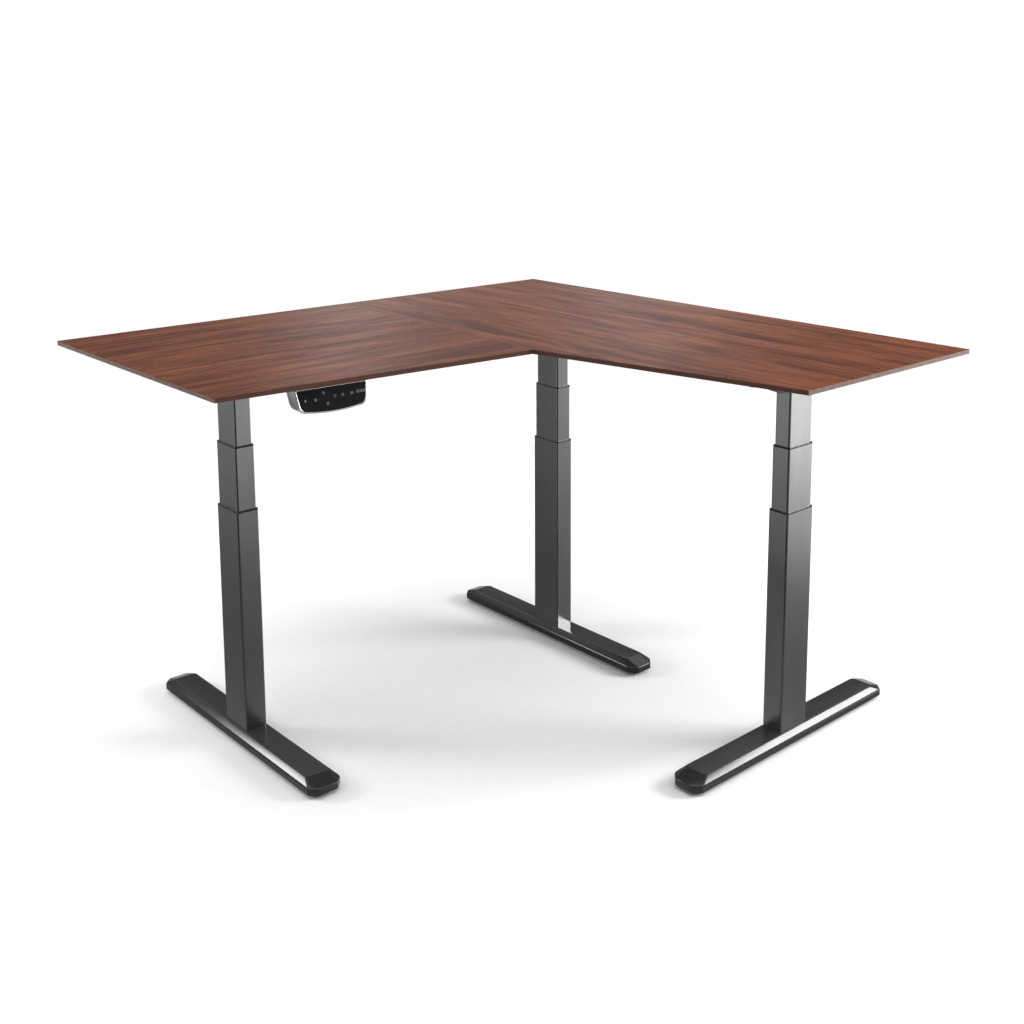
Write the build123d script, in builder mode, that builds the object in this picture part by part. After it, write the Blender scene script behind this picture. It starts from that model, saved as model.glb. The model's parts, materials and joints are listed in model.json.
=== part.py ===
"""Height adjustable corner desk: an L-shaped top on three three-stage telescopic legs.

Millimetres, +Z up. The origin is on the floor under the middle of the tabletop's
bounding square. The long wing runs along +X at the back, the return wing runs
along -Y at the left, and the sitter looks from the inner corner towards (-X, +Y).
Every leg has its own frame: local x along its foot, local y across it.
"""
import os
from math import cos, hypot, radians, sin

from build123d import *

os.makedirs("parts", exist_ok=True)

# ---------------------------------------------------------------- driving sizes
side = 1400                 # outer sides of the L
desk_height = 851           # top surface above the floor at mid height
top_thickness = 10
long_end_depth = 565        # depth of the long wing at its free end
return_end_depth = 720      # depth of the return wing at its free end
inner_corner = (76, 10)     # where the two inner edges meet
seam_outer_y = 38           # where the seam meets the outer edge of the return wing
arris = 0.8                 # eased top and bottom edges of the boards

# leg name: (x, y, turn of the foot about +Z in degrees)
legs = {
    "left": (-303, -491, 0),
    "corner": (-252, 368, 0),
    "right": (493, 370, 90),
}

# feet
foot_length = 657
foot_width = 76
foot_corner = 17            # plan chamfer of the foot's corners
foot_top_length = 583
foot_top_width = 53
foot_top_corner = 7
foot_clearance = 10         # underside of the foot above the floor
foot_band_top = 24          # where the upright side turns into the bevel
foot_top = 36
foot_wall = 2.5
leveller_offset = 296       # leveller axis from the middle of the foot
leveller_plate = (26, 14, 6) # threaded cross plate: length, underside height, thickness
pad_radius = 17
stud_radius = 4
stud_length = 17
stiffener = (190, 6)        # under the column: length, thickness

# columns: outer size, wall, corner radius of each stage
outer_size = (88, 50)
middle_size = (82, 44)
inner_size = (76, 38)
outer_wall = 1.8
tube_wall = 1.6
tube_corner = 4
outer_rim = 525             # top of the outer collar
middle_rim = 664            # top of the middle collar
middle_bottom = 179
middle_plate = 6            # end plate that carries the lift tube
inner_bottom = 319
collar_lip = 3
collar_skirt = 60
slide_gap = 0.2

# heads and rails under the top
sheet = 2.5                 # pressed sheet of brackets, plates and lids
flange_depth = 49
head_plate_size = (110, 70.6)
head_plate_thickness = 10
bracket_length = 380
bracket_width = 76
bracket_tip_depth = 14
tray_box = (-372, -136, 238, 544)    # corner tray: low x, high x, low y, high y
rail_width = 20
rail_height = 40
rail_wall = 2
rail_plate = 4              # closing plate welded into each rail end
rail_half_spacing = 62
return_rails_x = -278
long_rails_y = 368

# drive
gearbox_size = (64, 58, 34)
motor_radius = 17.5
motor_length = 85
motor_cap = 8
spindle_gap = 4             # drive spindle's collar below the top of the head plate
post_radius = 12            # post on the base, with the hollow spindle's nut at its top
post_bore = 9.5
post_nut = (445, 470)
post_nut_bore = 8.2
lift_tube_radius = 15.5     # tube of the middle stage, with the drive spindle's nut at its top
lift_tube_bore = 13
lift_nut = (620, 640)
lift_nut_bore = 5.2
hollow_spindle = (200, 612) # bottom and top of its thread
hollow_radius = 8
hollow_bore = 5.6
hollow_collar = (12, 7)     # radius, height
drive_spindle_bottom = 300
drive_radius = 5
drive_collar = (8, 3)       # radius, height
drive_shaft_rise = 11       # shaft above the collar, inside the gearbox
cable_radius = 2.5
cable_bend = 24

# derived heights
frame_top = desk_height - top_thickness
flange_bottom = frame_top - flange_depth
head_plate_top = flange_bottom + head_plate_thickness
rail_z = frame_top - 3 - rail_height / 2
motor_z = head_plate_top + 18
column_plate_top = foot_top + 6

# fasteners
bolt_radius = 4
bolt_head_radius = 6.5
bolt_head_height = 7
hex_radius = 3
hex_depth = 5
frame_bolt_head = 6
head_bolt_points = [(x, y) for x in (-47, 47) for y in (-25, 25)]
base_bolt_points = [(x, y) for x in (-30, 30) for y in (-14, 14)]
rail_bolt_rise = 10
rail_bolt_radius = 2.5
wood_screw_radius = 2
wood_screw_depth = 6.5      # into the board
bracket_screw_points = [(x, y) for x in (-165, -90, 90, 165) for y in (-22, 22)]
joint_plate_x = (-600, -440, -110, 5)
joint_plate_size = (60, 140)

# control box between the return wing's rails
box_x = return_rails_x
box_y = (-120, 110)
box_width = 90
box_bottom = frame_top - 44
box_wall = 2
box_ear = 16
inlet_x = -300
socket_size = (12, 9, 14)
left_socket_x = -262
handset_socket_x = -244
corner_socket_x = -290
right_socket_x = -266
corner_cable_x = -318       # the corner motor's cable runs beside its leg head here

# handset under the inner edge of the return wing
handset_y = -464            # middle of the handset along the inner edge
handset_half_width = 77
handset_height = 52
handset_tilt = 12
handset_setback = 6
handset_depth = 44
handset_screw_setback = 28
handset_wall = 2.4
side_lean = 4               # the sides lean inwards by this much
corner_rise = 19            # height of the round lower corners
corner_run = 20             # and their width
lower_bow = 4               # bow of the lower edge
panel_thickness = 2


# ---------------------------------------------------------------- helpers
def leg_plane(leg, height, across=0):
    """Level plane on a leg's axis, moved across the foot if asked."""
    x, y, turn = legs[leg]
    along_dir = Vector(cos(radians(turn)), sin(radians(turn)), 0)
    across_dir = Vector(-along_dir.Y, along_dir.X, 0)
    origin = Vector(x, y, height) + across_dir * across
    return Plane(origin=origin, x_dir=along_dir, z_dir=(0, 0, 1))


def leg_side_plane(leg, across):
    """Upright plane along a foot. Local y is up, and the normal points across the foot."""
    level = leg_plane(leg, 0, across)
    return Plane(origin=level.origin, x_dir=-level.x_dir, z_dir=level.y_dir)


def leg_point(leg, along, across):
    """Row position of a point given in a leg's frame."""
    point = leg_plane(leg, 0).from_local_coords(Vector(along, across, 0))
    return point.X, point.Y


def save(part, name):
    part.label = name
    export_step(part, f"parts/{name}.step")


def octagon(length, width, corner):
    Rectangle(length, width)
    chamfer(vertices(), corner)


def rounded_ring(outer, inner, corner):
    RectangleRounded(*outer, corner)
    inner_radius = max(corner - (outer[0] - inner[0]) / 2, 0.8)
    RectangleRounded(*inner, inner_radius, mode=Mode.SUBTRACT)


def shrunk(size, by):
    return size[0] - 2 * by, size[1] - 2 * by


# ---------------------------------------------------------------- screw places
def bracket_holes(leg):
    return [leg_point(leg, x, y) for x, y in bracket_screw_points]


tray_holes = [
    (x, y)
    for x in (tray_box[0] + 14, tray_box[1] - 14)
    for y in (tray_box[2] + 30, 420, tray_box[3] - 30)
]


def seam_y(x):
    run = (x + side / 2) / (inner_corner[0] + side / 2)
    return seam_outer_y + run * (inner_corner[1] - seam_outer_y)


plate_holes = [
    (x + dx, seam_y(x) + dy)
    for x in joint_plate_x
    for dx in (-18, 18)
    for dy in (-50, 50)
]
box_holes = [
    (box_x + dx, y)
    for dx in (-30, 30)
    for y in (box_y[0] - box_ear / 2, box_y[1] + box_ear / 2)
]
inner_edge = Vector(
    inner_corner[0] - (return_end_depth - side / 2), inner_corner[1] + side / 2, 0
).normalized()
handset_out = Vector(inner_edge.Y, -inner_edge.X, 0)
edge_run = (handset_y + side / 2) / (inner_corner[1] + side / 2)
handset_edge_x = return_end_depth - side / 2
handset_edge_x += edge_run * (inner_corner[0] - handset_edge_x)
handset_origin = Vector(handset_edge_x, handset_y, frame_top) - handset_out * handset_setback
handset_holes = [
    (point.X, point.Y)
    for point in (handset_origin + inner_edge * u - handset_out * handset_screw_setback for u in (-50, 50))
]
# cable clips: (x, y, True where the cable runs along X)
clips = [(250, 370, True), (60, 370, True), (-75, -418, False), (-160, -300, False)]
clip_holes = [(x, y + 11) if along_x else (x + 11, y) for x, y, along_x in clips]
wood_screw_points = bracket_holes("left") + bracket_holes("right") + tray_holes
wood_screw_points += plate_holes + box_holes + handset_holes + clip_holes


# ---------------------------------------------------------------- tabletop
def make_board(corners, seam):
    """One board: its outline, eased edges everywhere but along the seam, and pilot holes."""
    with BuildPart() as board:
        with BuildSketch(Plane.XY.offset(frame_top)):
            with BuildLine():
                Polyline(*corners, close=True)
            make_face()
        extrude(amount=top_thickness)
        rims = board.faces().sort_by(Axis.Z)[-1].edges() + board.faces().sort_by(Axis.Z)[0].edges()
        seam_middle = Vector((seam[0][0] + seam[1][0]) / 2, (seam[0][1] + seam[1][1]) / 2, 0)
        free_rims = [
            edge for edge in rims
            if hypot(edge.center().X - seam_middle.X, edge.center().Y - seam_middle.Y) > 1
        ]
        chamfer(free_rims, arris)
        with BuildSketch(Plane.XY.offset(frame_top)):
            with Locations(*wood_screw_points):
                Circle(wood_screw_radius + 0.05)
        extrude(amount=wood_screw_depth + 0.5, mode=Mode.SUBTRACT)
    return board.part


def make_tabletop():
    half = side / 2
    seam = [(-half, seam_outer_y), inner_corner]
    long_corners = [
        seam[0], seam[1], (half, half - long_end_depth), (half, half), (-half, half),
    ]
    return_corners = [
        (-half, -half), (return_end_depth - half, -half), seam[1], seam[0],
    ]
    save(make_board(long_corners, seam), "tabletop_long")
    save(make_board(return_corners, seam), "tabletop_return")


def make_joining_plates():
    with BuildPart() as joining_plates:
        with BuildSketch(Plane.XY.offset(frame_top - sheet)):
            with Locations(*[(x, seam_y(x)) for x in joint_plate_x]):
                RectangleRounded(*joint_plate_size, 8)
            with Locations(*plate_holes):
                Circle(wood_screw_radius + 0.3, mode=Mode.SUBTRACT)
        extrude(amount=sheet)
    save(joining_plates.part, "joining_plates")


# ---------------------------------------------------------------- feet
def make_foot(leg):
    """Hollow foot: upright band, bevelled sides and ends, and welded plates inside."""
    cavity = 2 * foot_wall
    plate_length, plate_z, plate_thickness = leveller_plate
    stiffener_length, stiffener_thickness = stiffener
    with BuildPart() as foot:
        with BuildSketch(leg_plane(leg, foot_clearance)):
            octagon(foot_length, foot_width, foot_corner)
        extrude(amount=foot_band_top - foot_clearance)
        with BuildSketch(leg_plane(leg, foot_band_top)):
            octagon(foot_length, foot_width, foot_corner)
        with BuildSketch(leg_plane(leg, foot_top)):
            octagon(foot_top_length, foot_top_width, foot_top_corner)
        loft()
        with BuildSketch(leg_plane(leg, foot_clearance)):
            octagon(foot_length - cavity, foot_width - cavity, foot_corner - 1)
        extrude(amount=foot_band_top - foot_clearance - 1, mode=Mode.SUBTRACT)
        with BuildSketch(leg_plane(leg, foot_band_top - 1)):
            octagon(foot_length - cavity, foot_width - cavity, foot_corner - 1)
        with BuildSketch(leg_plane(leg, foot_top - foot_wall)):
            octagon(foot_top_length - cavity, foot_top_width - cavity, foot_top_corner - 1)
        loft(mode=Mode.SUBTRACT)
        # welded cross plates that carry the leveller threads
        with BuildSketch(leg_plane(leg, plate_z)):
            with Locations((-leveller_offset, 0), (leveller_offset, 0)):
                Rectangle(plate_length, foot_width - foot_wall)
        extrude(amount=plate_thickness)
        # stiffener under the column
        with BuildSketch(leg_plane(leg, foot_top - foot_wall - stiffener_thickness)):
            Rectangle(stiffener_length, foot_top_width - 6)
        extrude(amount=stiffener_thickness + 0.5)
        with BuildSketch(leg_plane(leg, foot_clearance)):
            with Locations((-leveller_offset, 0), (leveller_offset, 0)):
                Circle(stud_radius + 0.1)
        extrude(amount=foot_top - foot_clearance - foot_wall - 4, mode=Mode.SUBTRACT)
        with BuildSketch(leg_plane(leg, foot_clearance)):
            with Locations(*base_bolt_points):
                Circle(bolt_radius + 0.5)
        extrude(amount=foot_top - foot_clearance, mode=Mode.SUBTRACT)
    save(foot.part, f"{leg}_foot")


def make_levellers(leg):
    """Screw-in glide pads, one under each end of the foot."""
    for name, along in (("front", leveller_offset), ("rear", -leveller_offset)):
        plane = leg_plane(leg, 0)
        with BuildPart() as leveller:
            with BuildSketch(plane):
                with Locations((along, 0)):
                    Circle(pad_radius)
            extrude(amount=foot_clearance - 1)
            chamfer(leveller.edges().filter_by(GeomType.CIRCLE).sort_by(Axis.Z)[-1], 3)
            fillet(leveller.edges().filter_by(GeomType.CIRCLE).sort_by(Axis.Z)[0], 1)
            with BuildSketch(leg_plane(leg, foot_clearance - 1)):
                with Locations((along, 0)):
                    Circle(stud_radius)
            extrude(amount=stud_length)
        save(leveller.part, f"{leg}_leveller_{name}")


def make_base_bolts(leg):
    """Bolts that hold the column on the foot, from below."""
    head_top = foot_top - foot_wall - stiffener[1]
    head_bottom = head_top - bolt_head_height
    with BuildPart() as base_bolts:
        with BuildSketch(leg_plane(leg, head_bottom)):
            with Locations(*base_bolt_points):
                Circle(bolt_head_radius)
                RegularPolygon(hex_radius, 6, major_radius=False, mode=Mode.SUBTRACT)
        extrude(amount=hex_depth)
        with BuildSketch(leg_plane(leg, head_bottom + hex_depth)):
            with Locations(*base_bolt_points):
                Circle(bolt_head_radius)
        extrude(amount=bolt_head_height - hex_depth)
        with BuildSketch(leg_plane(leg, head_top)):
            with Locations(*base_bolt_points):
                Circle(bolt_radius)
        extrude(amount=column_plate_top + 3 - head_top)
    save(base_bolts.part, f"{leg}_base_bolts")


# ---------------------------------------------------------------- columns
def make_outer_tube(leg):
    with BuildPart() as outer_tube:
        with BuildSketch(leg_plane(leg, foot_top)):
            rounded_ring(outer_size, shrunk(outer_size, outer_wall), tube_corner)
        extrude(amount=outer_rim - collar_lip - foot_top)
        with BuildSketch(leg_plane(leg, foot_top)):
            RectangleRounded(*shrunk(outer_size, outer_wall / 2), tube_corner - 1)
            with Locations(*base_bolt_points):
                Circle(bolt_radius + 0.05, mode=Mode.SUBTRACT)
        extrude(amount=column_plate_top - foot_top)
    save(outer_tube.part, f"{leg}_outer_tube")


def make_collar(leg, name, tube_size, wall, sliding_size, rim):
    """Plastic guide: a lip on the tube's rim and a skirt that lines its mouth."""
    opening = shrunk(sliding_size, -slide_gap)
    with BuildPart() as collar:
        with BuildSketch(leg_plane(leg, rim - collar_lip)):
            rounded_ring(tube_size, opening, tube_corner)
        extrude(amount=collar_lip)
        with BuildSketch(leg_plane(leg, rim - collar_lip - collar_skirt)):
            rounded_ring(shrunk(tube_size, wall + 0.05), opening, tube_corner - wall)
        extrude(amount=collar_skirt)
    save(collar.part, f"{leg}_{name}_collar")


def make_middle_tube(leg):
    with BuildPart() as middle_tube:
        with BuildSketch(leg_plane(leg, middle_bottom)):
            rounded_ring(middle_size, shrunk(middle_size, tube_wall), tube_corner)
        extrude(amount=middle_rim - collar_lip - middle_bottom)
        # end plate that carries the lift tube
        with BuildSketch(leg_plane(leg, middle_bottom)):
            RectangleRounded(*shrunk(middle_size, tube_wall / 2), tube_corner - 1)
            Circle(lift_tube_bore, mode=Mode.SUBTRACT)
        extrude(amount=middle_plate)
    save(middle_tube.part, f"{leg}_middle_tube")


def make_inner_tube(leg):
    with BuildPart() as inner_tube:
        with BuildSketch(leg_plane(leg, inner_bottom)):
            rounded_ring(inner_size, shrunk(inner_size, tube_wall), tube_corner)
        extrude(amount=flange_bottom - inner_bottom)
        # head plate that bolts under the bracket
        with BuildSketch(leg_plane(leg, flange_bottom)):
            RectangleRounded(*head_plate_size, 6)
            Circle(9, mode=Mode.SUBTRACT)
            with Locations(*head_bolt_points):
                Circle(bolt_radius + 0.3, mode=Mode.SUBTRACT)
        extrude(amount=head_plate_thickness)
    save(inner_tube.part, f"{leg}_inner_tube")


# ---------------------------------------------------------------- drive inside a column
def turned(leg, steps):
    """Stack of round steps on a leg's axis: (bottom, top, outer radius, bore radius)."""
    with BuildPart() as piece:
        for bottom, top, outer, bore in steps:
            with BuildSketch(leg_plane(leg, bottom)):
                Circle(outer)
                if bore:
                    Circle(bore, mode=Mode.SUBTRACT)
            extrude(amount=top - bottom)
    return piece.part


def make_drive(leg):
    """Two nested spindles, the tube that each one's nut sits in, and the post on the base."""
    nut_bottom, nut_top = post_nut
    base_post = turned(leg, [
        (column_plate_top, nut_bottom, post_radius, post_bore),
        (nut_bottom, nut_top, post_radius, post_nut_bore),
    ])
    save(base_post, f"{leg}_base_post")
    nut_bottom, nut_top = lift_nut
    lift_tube = turned(leg, [
        (middle_bottom + middle_plate, nut_bottom, lift_tube_radius, lift_tube_bore),
        (nut_bottom, nut_top, lift_tube_radius, lift_nut_bore),
    ])
    save(lift_tube, f"{leg}_lift_tube")
    bottom, top = hollow_spindle
    collar_radius, collar_height = hollow_collar
    spindle = turned(leg, [
        (bottom, top, hollow_radius, hollow_bore),
        (top, top + collar_height, collar_radius, hollow_bore),
    ])
    save(spindle, f"{leg}_hollow_spindle")
    collar_radius, collar_height = drive_collar
    collar_bottom = head_plate_top - spindle_gap
    collar_top = collar_bottom + collar_height
    spindle = turned(leg, [
        (drive_spindle_bottom, collar_bottom, drive_radius, 0),
        (collar_bottom, collar_top, collar_radius, 0),
        (collar_top, head_plate_top + drive_shaft_rise, drive_radius, 0),
    ])
    save(spindle, f"{leg}_drive_spindle")


def make_motor(leg):
    """Right-angle gearbox on the head plate, with its motor lying across the foot."""
    start = gearbox_size[1] / 2
    with BuildPart() as motor:
        with BuildSketch(leg_plane(leg, head_plate_top)):
            RectangleRounded(gearbox_size[0], gearbox_size[1], 8)
        extrude(amount=gearbox_size[2])
        fillet(motor.faces().sort_by(Axis.Z)[-1].edges(), 3)
        with BuildSketch(leg_side_plane(leg, start - 6)):
            with Locations((0, motor_z)):
                Circle(motor_radius)
        extrude(amount=motor_length + 6)
        with BuildSketch(leg_side_plane(leg, start + motor_length)):
            with Locations((0, motor_z)):
                Circle(motor_radius - 2)
        extrude(amount=motor_cap - 3)
        with BuildSketch(leg_side_plane(leg, start + motor_length + motor_cap - 3)):
            with Locations((0, motor_z)):
                Circle(6)
        extrude(amount=3)
        with BuildSketch(leg_plane(leg, head_plate_top)):
            Circle(5.3)
        extrude(amount=12, mode=Mode.SUBTRACT)
    save(motor.part, f"{leg}_motor")


# ---------------------------------------------------------------- heads and rails
def make_arm_bracket(leg):
    """Channel under the top along the foot, deep at the column and shallow at its tips."""
    tip = bracket_length / 2
    knee = head_plate_size[0] / 2 + 8
    with BuildPart() as bracket:
        with BuildSketch(leg_side_plane(leg, -bracket_width / 2)):
            with BuildLine():
                Polyline(
                    (-tip, frame_top), (tip, frame_top), (tip, frame_top - bracket_tip_depth),
                    (knee + 32, flange_bottom), (-knee - 32, flange_bottom),
                    (-tip, frame_top - bracket_tip_depth), close=True,
                )
            make_face()
        extrude(amount=bracket_width)
        with BuildSketch(leg_plane(leg, flange_bottom - 1)):
            Rectangle(bracket_length + 2, bracket_width - 2 * sheet)
        extrude(amount=flange_depth + 1 - sheet, mode=Mode.SUBTRACT)
        # notch for the motor
        with BuildSketch(leg_plane(leg, flange_bottom - 1, bracket_width / 2)):
            Rectangle(2 * motor_radius + 8, 4 * sheet)
        extrude(amount=flange_depth + 1 - sheet, mode=Mode.SUBTRACT)
        add_spacers(leg)
        with BuildSketch(leg_plane(leg, frame_top - sheet)):
            with Locations(*bracket_screw_points):
                Circle(wood_screw_radius + 0.3)
        extrude(amount=sheet, mode=Mode.SUBTRACT)
        add_rail_bolt_holes()
    save(bracket.part, f"{leg}_head_bracket")


def add_spacers(leg):
    """Welded spacers between the head plate and the bracket, with the bolt threads in them."""
    with BuildSketch(leg_plane(leg, head_plate_top)) as spacers:
        with Locations(*head_bolt_points):
            Circle(7)
    extrude(spacers.sketch, amount=frame_top - sheet - head_plate_top)
    with BuildSketch(leg_plane(leg, head_plate_top)) as threads:
        with Locations(*head_bolt_points):
            Circle(bolt_radius + 0.05)
    extrude(threads.sketch, amount=frame_top - head_plate_top, mode=Mode.SUBTRACT)


def make_corner_tray():
    """Pressed tray on the corner leg that takes the rails of both wings."""
    low_x, high_x, low_y, high_y = tray_box
    middle = ((low_x + high_x) / 2, (low_y + high_y) / 2)
    size = (high_x - low_x, high_y - low_y)
    with BuildPart() as tray:
        with BuildSketch(Plane.XY.offset(flange_bottom)):
            with Locations(middle):
                RectangleRounded(*size, 6)
        extrude(amount=flange_depth)
        with BuildSketch(Plane.XY.offset(flange_bottom)):
            with Locations(middle):
                RectangleRounded(*shrunk(size, sheet), 4)
        extrude(amount=flange_depth - sheet, mode=Mode.SUBTRACT)
        add_spacers("corner")
        # open notches for the cables
        with BuildSketch(Plane.XY.offset(flange_bottom)):
            with Locations((corner_cable_x, low_y), (right_socket_x, low_y)):
                Rectangle(14, 12)
            with Locations((high_x, 370)):
                Rectangle(12, 14)
        extrude(amount=motor_z + 7 - flange_bottom, mode=Mode.SUBTRACT)
        with BuildSketch(Plane.XY.offset(frame_top - sheet)):
            with Locations(*tray_holes):
                Circle(wood_screw_radius + 0.3)
        extrude(amount=sheet, mode=Mode.SUBTRACT)
        add_rail_bolt_holes()
    save(tray.part, "corner_head_bracket")


# rail ends: (x, y, direction from the flange into the rail)
left_flange_y = legs["left"][1] + bracket_width / 2
right_flange_x = legs["right"][0] - bracket_width / 2
return_rail_ends = [
    (return_rails_x + dx, y, (0, way, 0))
    for dx in (-rail_half_spacing, rail_half_spacing)
    for y, way in ((left_flange_y, 1), (tray_box[2], -1))
]
long_rail_ends = [
    (x, long_rails_y + dy, (way, 0, 0))
    for dy in (-rail_half_spacing, rail_half_spacing)
    for x, way in ((tray_box[1], 1), (right_flange_x, -1))
]


def rail_bolt_cylinders(radius, start, length, mode):
    """Cylinders on every rail bolt's axis, from start behind the flange face."""
    for x, y, way in return_rail_ends + long_rail_ends:
        for rise in (-rail_bolt_rise, rail_bolt_rise):
            origin = Vector(x, y, rail_z + rise) + Vector(*way) * start
            with BuildSketch(Plane(origin=origin, z_dir=way)) as disc:
                Circle(radius)
            extrude(disc.sketch, amount=length, mode=mode)


def add_rail_bolt_holes():
    rail_bolt_cylinders(rail_bolt_radius + 0.3, -sheet - 1, sheet + 1, Mode.SUBTRACT)


def make_rails(name, ends, along_x, cable_hole):
    """A pair of box rails with closing plates at their ends."""
    pairs = [(ends[0], ends[1]), (ends[2], ends[3])]
    with BuildPart() as rails:
        for first, last in pairs:
            start = min(first[0], last[0]) if along_x else min(first[1], last[1])
            stop = max(first[0], last[0]) if along_x else max(first[1], last[1])
            origin = (start, first[1], rail_z) if along_x else (first[0], start, rail_z)
            direction = (1, 0, 0) if along_x else (0, 1, 0)
            x_dir = (0, 1, 0) if along_x else (1, 0, 0)
            plane = Plane(origin=origin, x_dir=x_dir, z_dir=direction)
            with BuildSketch(plane):
                RectangleRounded(rail_width, rail_height, 3)
            extrude(amount=stop - start)
            with BuildSketch(plane.offset(rail_plate)):
                RectangleRounded(rail_width - 2 * rail_wall, rail_height - 2 * rail_wall, 1.2)
            extrude(amount=stop - start - 2 * rail_plate, mode=Mode.SUBTRACT)
        for x, y, way in ends:
            for rise in (-rail_bolt_rise, rail_bolt_rise):
                with BuildSketch(Plane(origin=(x, y, rail_z + rise), z_dir=way)):
                    Circle(rail_bolt_radius + 0.05)
                extrude(amount=rail_plate, mode=Mode.SUBTRACT)
        if cable_hole:
            x, y = cable_hole
            with BuildSketch(Plane(origin=(x - 15, y, motor_z), z_dir=(1, 0, 0))):
                Circle(7)
            extrude(amount=30, mode=Mode.SUBTRACT)
    save(rails.part, name)


def make_frame_bolts():
    """Bolts of the leg heads and of the rail ends."""
    with BuildPart() as frame_bolts:
        for leg in legs:
            head_bottom = flange_bottom - frame_bolt_head
            with BuildSketch(leg_plane(leg, head_bottom)):
                with Locations(*head_bolt_points):
                    Circle(bolt_head_radius)
                    RegularPolygon(hex_radius, 6, major_radius=False, mode=Mode.SUBTRACT)
            extrude(amount=frame_bolt_head - 2)
            with BuildSketch(leg_plane(leg, flange_bottom - 2)):
                with Locations(*head_bolt_points):
                    Circle(bolt_head_radius)
            extrude(amount=2)
            with BuildSketch(leg_plane(leg, flange_bottom)):
                with Locations(*head_bolt_points):
                    Circle(bolt_radius)
            extrude(amount=flange_depth - 0.5)
        rail_bolt_cylinders(rail_bolt_radius, -sheet - 1, sheet + 1 + rail_plate + 6, Mode.ADD)
        rail_bolt_cylinders(4.5, -sheet - 3, 3, Mode.ADD)
    save(frame_bolts.part, "frame_bolts")


def make_wood_screws():
    with BuildPart() as wood_screws:
        with BuildSketch(Plane.XY.offset(frame_top - sheet - 2.5)):
            with Locations(*wood_screw_points):
                Circle(4)
                RegularPolygon(1.4, 4, mode=Mode.SUBTRACT)
        extrude(amount=1.5)
        with BuildSketch(Plane.XY.offset(frame_top - sheet - 1)):
            with Locations(*wood_screw_points):
                Circle(4)
        extrude(amount=1)
        with BuildSketch(Plane.XY.offset(frame_top - sheet)):
            with Locations(*wood_screw_points):
                Circle(wood_screw_radius)
        extrude(amount=sheet + wood_screw_depth)
    save(wood_screws.part, "wood_screws")


# ---------------------------------------------------------------- control box
def make_control_box():
    length = box_y[1] - box_y[0]
    middle = (box_x, (box_y[0] + box_y[1]) / 2)
    wall_top = frame_top - sheet
    with BuildPart() as case:
        with BuildSketch(Plane.XY.offset(box_bottom)):
            with Locations(middle):
                RectangleRounded(box_width, length, 5)
        extrude(amount=wall_top - box_bottom)
        fillet(case.faces().sort_by(Axis.Z)[0].edges(), 2)
        with BuildSketch(Plane.XY.offset(box_bottom + box_wall)):
            with Locations(middle):
                RectangleRounded(box_width - 2 * box_wall, length - 2 * box_wall, 3)
        extrude(amount=wall_top - box_bottom, mode=Mode.SUBTRACT)
        # inlet opening and sockets
        front = Plane(origin=(0, box_y[0] - 1, motor_z), x_dir=(1, 0, 0), z_dir=(0, -1, 0))
        with BuildSketch(front):
            with Locations((inlet_x, 0)):
                Rectangle(27.2, 19.2)
            with Locations((left_socket_x, 0), (handset_socket_x, 0)):
                Rectangle(socket_size[0], socket_size[1])
        extrude(amount=-4, mode=Mode.SUBTRACT)
        back = Plane(origin=(0, box_y[1] - 3, motor_z), x_dir=(1, 0, 0), z_dir=(0, -1, 0))
        with BuildSketch(back):
            with Locations((corner_socket_x, 0), (right_socket_x, 0)):
                Rectangle(socket_size[0], socket_size[1])
        extrude(amount=-4, mode=Mode.SUBTRACT)
        # row of cooling slots in each long wall
        with BuildSketch(Plane(origin=(box_x - 60, 0, 806), x_dir=(0, 1, 0), z_dir=(1, 0, 0))):
            with GridLocations(9, 1, 12, 1):
                Rectangle(3, 10)
        extrude(amount=120, mode=Mode.SUBTRACT)
    save(case.part, "control_box_case")

    with BuildPart() as lid:
        with BuildSketch(Plane.XY.offset(wall_top)):
            with Locations(middle):
                RectangleRounded(box_width, length + 2 * box_ear, 5)
            with Locations(*box_holes):
                Circle(wood_screw_radius + 0.3, mode=Mode.SUBTRACT)
        extrude(amount=sheet)
    save(lid.part, "control_box_lid")

    with BuildPart() as board:
        with BuildSketch(Plane.XY.offset(box_bottom + box_wall + 5)):
            with Locations(middle):
                Rectangle(box_width - 12, length - 60)
        extrude(amount=1.6)
        # feet of the board
        with BuildSketch(Plane.XY.offset(box_bottom + box_wall)):
            with Locations(middle):
                with GridLocations(64, length - 74, 2, 2):
                    Circle(3)
        extrude(amount=5.5)
        # transformer, capacitors and relays
        with BuildSketch(Plane.XY.offset(box_bottom + box_wall + 6)):
            with Locations((box_x - 12, box_y[0] + 62)):
                Rectangle(38, 34)
        extrude(amount=24)
        with BuildSketch(Plane.XY.offset(box_bottom + box_wall + 6)):
            with Locations((box_x + 22, box_y[0] + 52), (box_x + 22, box_y[0] + 74)):
                Circle(8)
        extrude(amount=22)
        with BuildSketch(Plane.XY.offset(box_bottom + box_wall + 6)):
            with Locations((box_x, box_y[1] - 60)):
                with GridLocations(24, 1, 3, 1):
                    Rectangle(16, 22)
        extrude(amount=14)
    save(board.part, "control_board")


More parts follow.
